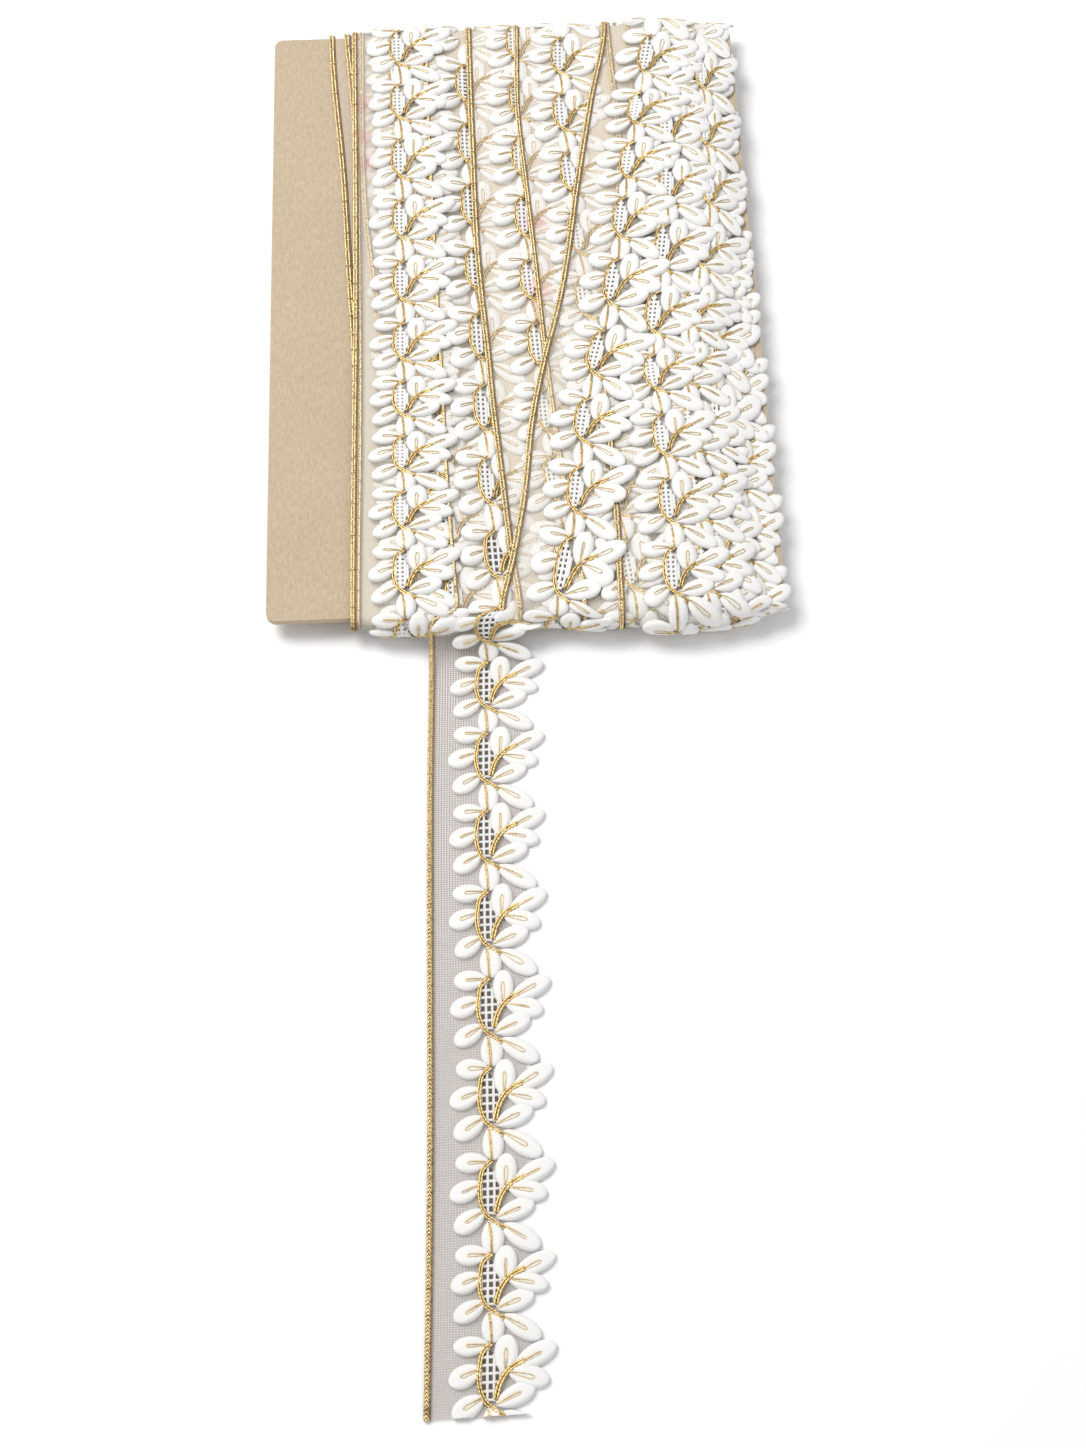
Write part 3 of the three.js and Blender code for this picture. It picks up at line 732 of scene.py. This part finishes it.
def vein_loops(batch, strip, rows, steps, sides):
    """Adds the narrow gold loop on each leaf, from its base to past its middle."""
    rows = rows[rows[:, 6] != CENTRE_LEAF]
    if not len(rows):
        return
    t = np.linspace(-1, 1, steps)
    reach = 1 - np.abs(t) ** 1.5
    share = VEIN_START + VEIN_REACH * reach
    side = -np.sign(t) * VEIN_HALF_WIDTH * reach**0.7 * np.sqrt(np.clip(1 - reach**8, 0, 1))
    wander = RANDOM.normal(0, 0.12, (len(rows), 1))
    width = 1 + RANDOM.normal(0, 0.2, (len(rows), 1))
    offset = side * width + wander * reach
    across, along = on_leaves(rows, share * leaf_lengths(rows)[:, None], offset)
    half = np.maximum(leaf_half_width(share)[None, :] * rows[:, 4:5] / 2, 0.3)
    dome = leaf_dome(share[None, :], np.clip(offset / half, -1, 1))
    lift = GROUND_LIFT + 0.1 + dome * (LEAF_CROWN * rows[:, 5:6])
    bead = VEIN_RADIUS * (1 + VEIN_BEADS * np.sin(np.arange(steps) * math.pi * 0.9))
    add_lines(batch, strip, across, np.minimum(along, strip.cut), lift, bead, sides)


def resampled(points, step):
    points = np.array(points, float)
    knots = distances(points)
    q = np.linspace(0, knots[-1], max(4, int(knots[-1] / step) + 1))
    return np.stack([hermite(knots, points[:, 0], q), hermite(knots, points[:, 1], q)], axis=1)


def stem_tubes(batch, strip, repeats, step, sides):
    """Adds the stems of the given repeats, each as two rows of chain stitch."""
    for chart, radius, reach in STEMS:
        line = resampled(chart, step)
        tangent = np.gradient(line, axis=0)
        tangent /= np.linalg.norm(tangent, axis=1, keepdims=True)
        normal = np.stack([-tangent[:, 1], tangent[:, 0]], axis=1)
        for sign in (-1, 1):
            path = line + normal * radius * 1.08 * sign
            relief = np.maximum(chart_relief(path[:, 0], path[:, 1]) * reach, STEM_RISE)
            along = np.minimum(repeats[:, None] * REPEAT + path[:, 1], strip.cut)
            wave = np.sin(np.arange(len(path)) * math.pi * 0.7 + sign)
            add_lines(batch, strip, path[:, 0], along, relief + GROUND_LIFT + 0.2,
                      radius * (1 + STEM_BEADS * wave), sides)


def in_pieces(*lines):
    """Cuts the values of one long line into short ones that share their ends."""
    size = len(lines[0])
    count = max(2, min(PIECE_POINTS, size))
    first = np.minimum(np.arange(0, size - 1, count - 1), size - count)
    index = first[:, None] + np.arange(count)
    return [values[index] for values in lines]


def edge_cords(batch, strip, start, end, step, sides, plies):
    """Adds the gold edge: two cords side by side, each one plain or of twisted plies."""
    if end - start < step:
        return
    along = np.append(np.arange(start, end, step), end)
    sway, radius = (CORD_SWAY, PLY_RADIUS) if plies > 1 else (0.0, CORD_RADIUS)
    for lane, hand in zip(strip.lanes, (1, -1)):
        for ply in range(plies):
            turn = hand * along * 2 * math.pi / CORD_TWIST + 2 * math.pi * ply / plies
            across, lift = lane + sway * np.cos(turn), CORD_LIFT + sway * np.sin(turn)
            add_lines(batch, strip, *in_pieces(across, along, lift), radius, sides)


def inner_row(batch, strip, start, end, step, sides):
    """Adds the thin dark row beside the gold edge."""
    along = np.append(np.arange(start, end, step), end)
    across = strip.lanes[1] + ROW_BESIDE + ROW_SWAY * np.sin(along * 5.1)
    add_lines(batch, strip, *in_pieces(across, along), ROW_LIFT, ROW_RADIUS, sides)


def filling_bars(batch, strip, repeats):
    """Adds the white net of the open filling: upright and cross bars with holes between."""
    rows, columns, bar, lift, drawn_in = strip.net
    lines = [np.stack([np.linspace(filling_start(row), filling_edge(row, drawn_in), 5),
                       np.full(5, row)], axis=1) for row in rows]
    for column in columns:
        r = np.linspace(FILLING_ALONG[0], FILLING_END, 30)
        r = r[(filling_edge(r, drawn_in) >= column - 0.2) & (filling_start(r) <= column + 0.2)]
        if len(r) > 3:
            r = np.linspace(r[0], r[-1], 11)
            lines.append(np.stack([np.full(11, column), r], axis=1))
    for line in lines:
        along = repeats[:, None] * REPEAT + line[:, 1]
        add_lines(batch, strip, line[:, 0], along, lift, bar / 2, BAR_SIDES)


def filling_backs(batch, strip, repeats):
    """Adds a dark sheet under the open filling, as painted shade that shows in its holes."""
    r = np.linspace(0.9, FILLING_END, 9)
    low, high = filling_start(r), filling_edge(r, strip.net[-1])
    across = low[:, None] + (high - low)[:, None] * np.linspace(0, 1, 5)[None, :]
    along = r[:, None] + np.zeros(5)
    for start in repeats * REPEAT:
        if bared(strip, across, along + start).any():
            points = strip.place(across, along + start, GROUND_LIFT + 0.08)
            batch.add(points, grid_quads(*across.shape))


def ground_sheet(batch, strip, start, end, step, across_stops, scallop=0.0):
    """Adds the sheer ground with uv in centimetres; its leaf side swells out by scallop."""
    along = np.linspace(start, end, int((end - start) / step) + 2)
    a, l = np.meshgrid(np.array(across_stops), along, indexing="ij")
    outer = np.clip((a - GROUND_SWELL_FROM) / (GROUND_ACROSS - GROUND_SWELL_FROM), 0, 1)
    a = a + outer * scallop * np.interp(np.mod(l, REPEAT), *zip(*GROUND_SCALLOP))
    uv = np.stack([a, l], axis=-1) * UV_CM
    batch.add(strip.place(a, l, GROUND_LIFT), grid_quads(*a.shape), uv)


# Materials

class Shading:
    """The nodes of one new material, with a short call for each kind that is used here."""

    def __init__(self, name):
        self.material = bpy.data.materials.new(name)
        self.material.use_nodes = True
        self.nodes = self.material.node_tree.nodes
        self.shader = self.nodes["Principled BSDF"]

    def feed(self, socket, value):
        """Sets a socket, or links it where value is another node's output."""
        if isinstance(value, bpy.types.NodeSocket):
            self.material.node_tree.links.new(value, socket)
        else:
            socket.default_value = value

    def surface(self, **values):
        for name, value in values.items():
            self.feed(self.shader.inputs[name.replace("_", " ")], value)

    def add(self, kind, inputs, **settings):
        """New node of a kind; each input is a value or another node's output."""
        made = self.nodes.new("ShaderNode" + kind)
        for name, value in settings.items():
            setattr(made, name, value)
        for name, value in inputs.items():
            self.feed(made.inputs[name], value)
        return made

    def place(self):
        return self.add("TexCoord", {}).outputs["Object"]

    def thread_uv(self):
        uv = self.add("UVMap", {}, uv_map="thread").outputs[0]
        return self.add("SeparateXYZ", {0: uv}).outputs[:2]

    def noise(self, scale, detail, **inputs):
        inputs = {"Vector": self.place(), "Scale": scale, "Detail": detail, **inputs}
        return self.add("TexNoise", inputs).outputs[0]

    def calc(self, operation, *values):
        return self.add("Math", dict(enumerate(values)), operation=operation).outputs[0]

    def ramp(self, factor, low, high, low_at=0.0, high_at=1.0):
        made = self.add("ValToRGB", {0: factor})
        for element, colour, at in zip(made.color_ramp.elements, (low, high), (low_at, high_at)):
            element.position = at
            element.color = (*colour, 1)
        return made.outputs[0]

    def mix(self, factor, first, second, blend="MIX"):
        inputs = {"Factor": factor, "A": first, "B": second}
        return self.add("Mix", inputs, data_type="RGBA", blend_type=blend).outputs["Result"]

    def bump(self, height, strength, distance):
        inputs = {"Height": height, "Strength": strength, "Distance": distance}
        self.surface(Normal=self.add("Bump", inputs).outputs[0])

    def stained(self, colour):
        """Tints a colour pink in the few soft spots where the trim is stained."""
        for x, y, radius in STAINS:
            spot = to_world((x, y, CARD_TOP + STAIN_HEIGHT))
            away = self.add("VectorMath", {0: self.place(), 1: tuple(spot)}, operation="DISTANCE")
            share = self.calc("DIVIDE", away.outputs["Value"], radius * MM)
            faded = self.calc("MAXIMUM", self.calc("SUBTRACT", 1.0, share), 0.0)
            colour = self.mix(self.calc("MULTIPLY", faded, STAIN_STRENGTH), colour, STAIN_COLOUR)
        return colour


def thread_material(name, light, shade):
    """Padded satin stitch: threads run outward from the midrib at a slant, with painted shade
    between them.
    """
    made = Shading(name)
    along, across = made.thread_uv()
    slant = made.calc("MULTIPLY", made.calc("ABSOLUTE", across), STITCH_SLANT)
    noise = made.noise(900.0, 3.0)
    wobble = made.calc("MULTIPLY", noise, STITCH_WOBBLE)
    run = made.calc("ADD", made.calc("SUBTRACT", along, slant), wobble)
    wave = made.calc("SINE", made.calc("MULTIPLY", run, 2 * math.pi / STITCH_PITCH))
    wave = made.calc("ADD", made.calc("MULTIPLY", wave, 0.5), 0.5)
    stitches = made.calc("ADD", wave, noise)
    # Painted shade in the grooves between stitches: the colour runs from shade to light across each
    # one, with noise for uneven tone
    colour = made.ramp(made.calc("MULTIPLY", stitches, 0.6), shade, light)
    made.surface(Base_Color=made.stained(colour), Roughness=0.72, Sheen_Weight=0.25,
                 Sheen_Roughness=0.4)
    made.bump(stitches, 0.45, 0.00012)
    return made.material


def gold_material(name, light, dark, roughness):
    """Metal thread with painted shade down its sides, where uv gives the angle round it, and noise
    for uneven tone and painted glints.
    """
    made = Shading(name)
    noise = made.noise(1000.0, 2.0)
    _, angle = made.thread_uv()
    # Painted shade: lighter along the top of each thread, darker down its sides
    painted_side_shade = made.calc("MULTIPLY", made.calc("SINE", angle), 0.3)
    colour = made.ramp(made.calc("ADD", painted_side_shade, noise), dark, light, 0.5, 0.76)
    made.surface(Base_Color=colour, Metallic=0.55, Roughness=roughness)
    made.bump(noise, 0.4, 0.0001)
    return made.material


def organza_material(name, colour, open_alpha, close_alpha, spots=False):
    """Sheer plain weave of fine threads about a millimetre apart, part see-through."""
    made = Shading(name)
    bands = []
    for place, pitch in zip(made.thread_uv(), WEAVE_PITCHES):
        wave = made.calc("SINE", made.calc("MULTIPLY", place, 2 * math.pi / pitch))
        bands.append(made.calc("GREATER_THAN", wave, 0.2))
    weave = made.calc("MAXIMUM", *bands)
    alpha = made.calc("MULTIPLY", weave, close_alpha - open_alpha)
    alpha = made.calc("ADD", alpha, open_alpha)
    noise = made.noise(700.0, 2.0)
    alpha = made.calc("ADD", alpha, made.calc("MULTIPLY", noise, 0.16))
    colour = (*colour, 1)
    made.surface(Base_Color=made.stained(colour) if spots else colour, Alpha=alpha, Roughness=0.6)
    return made.material


def kraft_material(name):
    """Kraft board: warm brown fibres with pale and dark specks."""
    made = Shading(name)
    stretched = made.add("Mapping", {0: made.place(), "Scale": (1.0, 0.35, 1.0)}).outputs[0]
    fibre = made.noise(900.0, 5.0, Vector=stretched, Roughness=0.7)
    cloud = made.noise(28.0, 3.0)
    speck = made.add("TexVoronoi", {"Vector": made.place(), "Scale": 330.0}).outputs[0]
    base = made.ramp(fibre, (0.33, 0.258, 0.172), (0.70, 0.565, 0.405))
    tint = made.ramp(cloud, (0.92, 0.92, 0.92), (1.05, 1.04, 1.03))
    board = made.mix(1.0, base, tint, "MULTIPLY")
    dark = made.calc("MULTIPLY", made.calc("LESS_THAN", speck, 0.12), 0.35)
    made.surface(Base_Color=made.mix(dark, board, (0.28, 0.19, 0.12, 1)), Roughness=0.9)
    made.bump(fibre, 0.35, 0.00015)
    return made.material


WHITE_THREAD = thread_material("white_satin_stitch", (0.93, 0.922, 0.902), (0.82, 0.807, 0.783))
WHITE_NET = thread_material("white_net_thread", (0.95, 0.94, 0.92), (0.88, 0.87, 0.85))
GOLD = gold_material("gold_chain_thread", (0.84, 0.61, 0.25), (0.28, 0.16, 0.05), 0.38)
PALE_GOLD = gold_material("pale_gold_chain", (0.86, 0.70, 0.43), (0.50, 0.35, 0.16), 0.5)
EDGE_GOLD = gold_material("gold_edge_cord", (0.94, 0.73, 0.38), (0.30, 0.18, 0.06), 0.3)
BROWN_ROW = gold_material("brown_inner_row", (0.40, 0.27, 0.15), (0.16, 0.09, 0.045), 0.6)
PAD_ORGANZA = organza_material("sheer_ground", (0.90, 0.84, 0.74), 0.01, 0.17, True)
LOOSE_ORGANZA = organza_material("sheer_ground_single", (0.46, 0.40, 0.365), 0.06, 0.58)
# Painted shade for the holes of the open filling: dark, nearly opaque sheets under its net
LOOSE_HOLE_SHADE = organza_material("filling_hole_shade", (0.10, 0.075, 0.055), 0.9, 1.0)
PAD_HOLE_SHADE = organza_material("filling_hole_shade_wound", (0.16, 0.115, 0.075), 0.85, 1.0)
# Inner turns: the warm cream of the hidden layers, made darker as painted shade for the gaps
# between the leaves over them
CORE = thread_material("inner_turns", (0.76, 0.67, 0.54), (0.62, 0.53, 0.41))


# Build

def visible_rows(strip, rows):
    """Splits leaves into open and veiled ones, without those that lie wholly under others."""
    spots = np.array([(0.2, 0.0), (0.5, 0.0), (0.8, 0.0), (0.5, 0.7), (0.5, -0.7), (0.95, 0.0)])
    run = spots[:, 0] * leaf_lengths(rows)[:, None]
    x, s = strip.unrolled(*on_leaves(rows, run, spots[:, 1] * rows[:, 4:5] / 2))
    shown = (strip.hide.at(x, s) < 0.5).any(axis=1)
    veiled = (strip.veil.at(x, s) > 0.5).mean(axis=1) > 0.6
    return rows[shown & ~veiled], rows[shown & veiled]


def on_front(strip, rows):
    _, s = strip.unrolled(rows[:, 0], rows[:, 1])
    return (s > -FOLD * 0.9) & (s < FRONT_END + FOLD * 0.9)


def batches(names):
    return {name: Batch() for name in names.split()}


def build_pad(strips):
    made = batches("leaves back_leaves veins stems gold_edges back_edges inner_rows open_filling "
                   "filling_backs ground")
    for strip in strips:
        low, high = strip.chart_at(strip.start), strip.chart_at(strip.end)
        front_end = min(strip.chart_at(FRONT_END + FOLD * 0.7), high)
        rows = leaf_rows(int(low // REPEAT), int(high // REPEAT))
        middle = (rows[:, 1] + rows[:, 3]) / 2
        rows = rows[(middle > low) & (middle < high)]
        openly, veiled = visible_rows(strip, rows)
        front = on_front(strip, openly)
        leaf_meshes(made["leaves"], strip, openly[front], *FRONT_LEAF)
        leaf_meshes(made["back_leaves"], strip, openly[~front], *BACK_LEAF)
        leaf_meshes(made["back_leaves"], strip, veiled, *VEILED_LEAF)
        vein_loops(made["veins"], strip, veiled[on_front(strip, veiled)], *VEILED_VEIN)
        vein_loops(made["veins"], strip, openly[front], *FRONT_VEIN)
        vein_loops(made["veins"], strip, openly[~front], *BACK_VEIN)
        repeats = np.arange(int(low // REPEAT) + 1, int(high // REPEAT))
        shown = repeats[repeats * REPEAT < front_end]
        stem_tubes(made["stems"], strip, shown, *FRONT_STEM)
        stem_tubes(made["stems"], strip, repeats[len(shown):], *BACK_STEM)
        filling_bars(made["open_filling"], strip, shown)
        filling_backs(made["filling_backs"], strip, shown)
        edge_cords(made["gold_edges"], strip, low, front_end, *FRONT_CORD)
        edge_cords(made["back_edges"], strip, front_end - 0.6, high, *BACK_CORD)
        inner_row(made["inner_rows"], strip, low, front_end, *FRONT_ROW)
        ground_sheet(made["ground"], strip, low, high, *WOUND_GROUND)
    return made


def build_core():
    """Inner turns as one surface a little under the strips, seen through the sheer ground."""
    batch = Batch()
    x, s = np.linspace(CORE_LEFT, CORE_RIGHT, CORE_POINTS[0]), np.linspace(0, LOOP, CORE_POINTS[1])
    x, s = np.meshgrid(x, s, indexing="ij")
    points = on_pad(x, s, 0.25 + hidden_turns(x) * 0.9)
    batch.add(points, grid_quads(*x.shape), np.stack([x, s], axis=-1) * UV_CM)
    return batch


def build_loose(loose):
    made = batches("leaves veins stems gold_cords inner_row open_filling filling_backs ground")
    rows = leaf_rows(-1, len(LOOSE_NODES))
    middle = (rows[:, 1] + rows[:, 3]) / 2
    rows = rows[(middle > loose.start) & (rows[:, 1] < loose.end - 0.5)]
    leaf_meshes(made["leaves"], loose, rows, *LOOSE_LEAF)
    whole = np.maximum(rows[:, 1], rows[:, 3]) < loose.end + 3
    vein_loops(made["veins"], loose, rows[whole], *LOOSE_VEIN)
    repeats = np.arange(-1, len(LOOSE_NODES) + 1)
    stem_tubes(made["stems"], loose, repeats, *LOOSE_STEM)
    filling_bars(made["open_filling"], loose, repeats)
    filling_backs(made["filling_backs"], loose, repeats)
    edge_cords(made["gold_cords"], loose, loose.start, loose.end, *LOOSE_CORD)
    inner_row(made["inner_row"], loose, loose.start, loose.end, *LOOSE_ROW)
    ground_sheet(made["ground"], loose, loose.start, loose.end, *LOOSE_GROUND, LOOSE_SCALLOP)
    return made


def as_pieces(made, prefix, looks):
    """Makes one piece of each batch, riding with the one body."""
    pieces = {}
    for name, batch in made.items():
        pieces[name] = piece = batch.make(prefix + name, looks[name])
        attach(piece, "root")
    return pieces


LOOKS = {
    "leaves": WHITE_THREAD, "back_leaves": WHITE_THREAD, "veins": PALE_GOLD, "stems": GOLD,
    "gold_edges": EDGE_GOLD, "back_edges": EDGE_GOLD, "gold_cords": EDGE_GOLD,
    "inner_rows": BROWN_ROW, "inner_row": BROWN_ROW, "open_filling": WHITE_NET,
}
PAD_LOOKS = {**LOOKS, "filling_backs": PAD_HOLE_SHADE, "ground": PAD_ORGANZA, "inner_turns": CORE}
LOOSE_LOOKS = {**LOOKS, "filling_backs": LOOSE_HOLE_SHADE, "ground": LOOSE_ORGANZA}

strips = wind()
pad_strip = next(s for s in strips if s.name == LOOSE_PASS)
pad = build_pad(strips)
pad["inner_turns"] = build_core()
pad = as_pieces(pad, "pad_", PAD_LOOKS)
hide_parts("wound_trim")

loose = LooseStrip(pad_strip)
end = as_pieces(build_loose(loose), "loose_", LOOSE_LOOKS)
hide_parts("loose_end")
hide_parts("loose_gold_edge")

card = bpy.data.objects["card"]
card.data.materials.clear()
card.data.materials.append(kraft_material("kraft_board"))

turns = sum(s.turn_length() for s in strips)


# Floor, light and camera

def add_floor():
    mesh = bpy.data.meshes.new("floor")
    corners = [(x * FLOOR_HALF, y * FLOOR_HALF, 0) for x, y in ((-1, -1), (1, -1), (1, 1), (-1, 1))]
    mesh.from_pydata(corners, [], [(0, 1, 2, 3)])
    made = Shading("pale_floor")
    made.surface(Base_Color=(0.94, 0.94, 0.94, 1), Roughness=0.9)
    mesh.materials.append(made.material)
    floor = new_object("floor", mesh)
    floor.location.z = -FLOOR_DROP


def add_area(name, place, size, power):
    """Adds an area light that points at the origin."""
    light = bpy.data.lights.new(name, "AREA")
    light.size = size
    light.energy = power
    lamp = new_object(name, light)
    lamp.location = place
    x, y, z = -np.array(place)
    lamp.rotation_euler = (math.atan2(math.hypot(x, y), -z), 0, math.atan2(x, -y) + math.pi)


def add_camera():
    data = bpy.data.cameras.new("camera")
    data.sensor_fit = "VERTICAL"
    data.sensor_height = 36.0
    data.lens = CAMERA_FOCAL
    data.clip_start = 0.01
    data.clip_end = 50.0
    camera = new_object("camera", data)
    camera.location = to_world(CAMERA_PLACE)
    camera.rotation_euler = (math.radians(90 - CAMERA_ELEVATION), 0, math.radians(-CAMERA_YAW))
    SCENE.camera = camera


def set_world():
    world = bpy.data.worlds.new("studio")
    world.use_nodes = True
    background = world.node_tree.nodes["Background"]
    background.inputs["Color"].default_value = (1, 1, 1, 1)
    background.inputs["Strength"].default_value = WORLD_STRENGTH
    SCENE.world = world
    SCENE.view_settings.view_transform = "Standard"
    SCENE.view_settings.look = "None"


add_floor()
add_camera()
set_world()
for light in LIGHTS:
    add_area(*light)
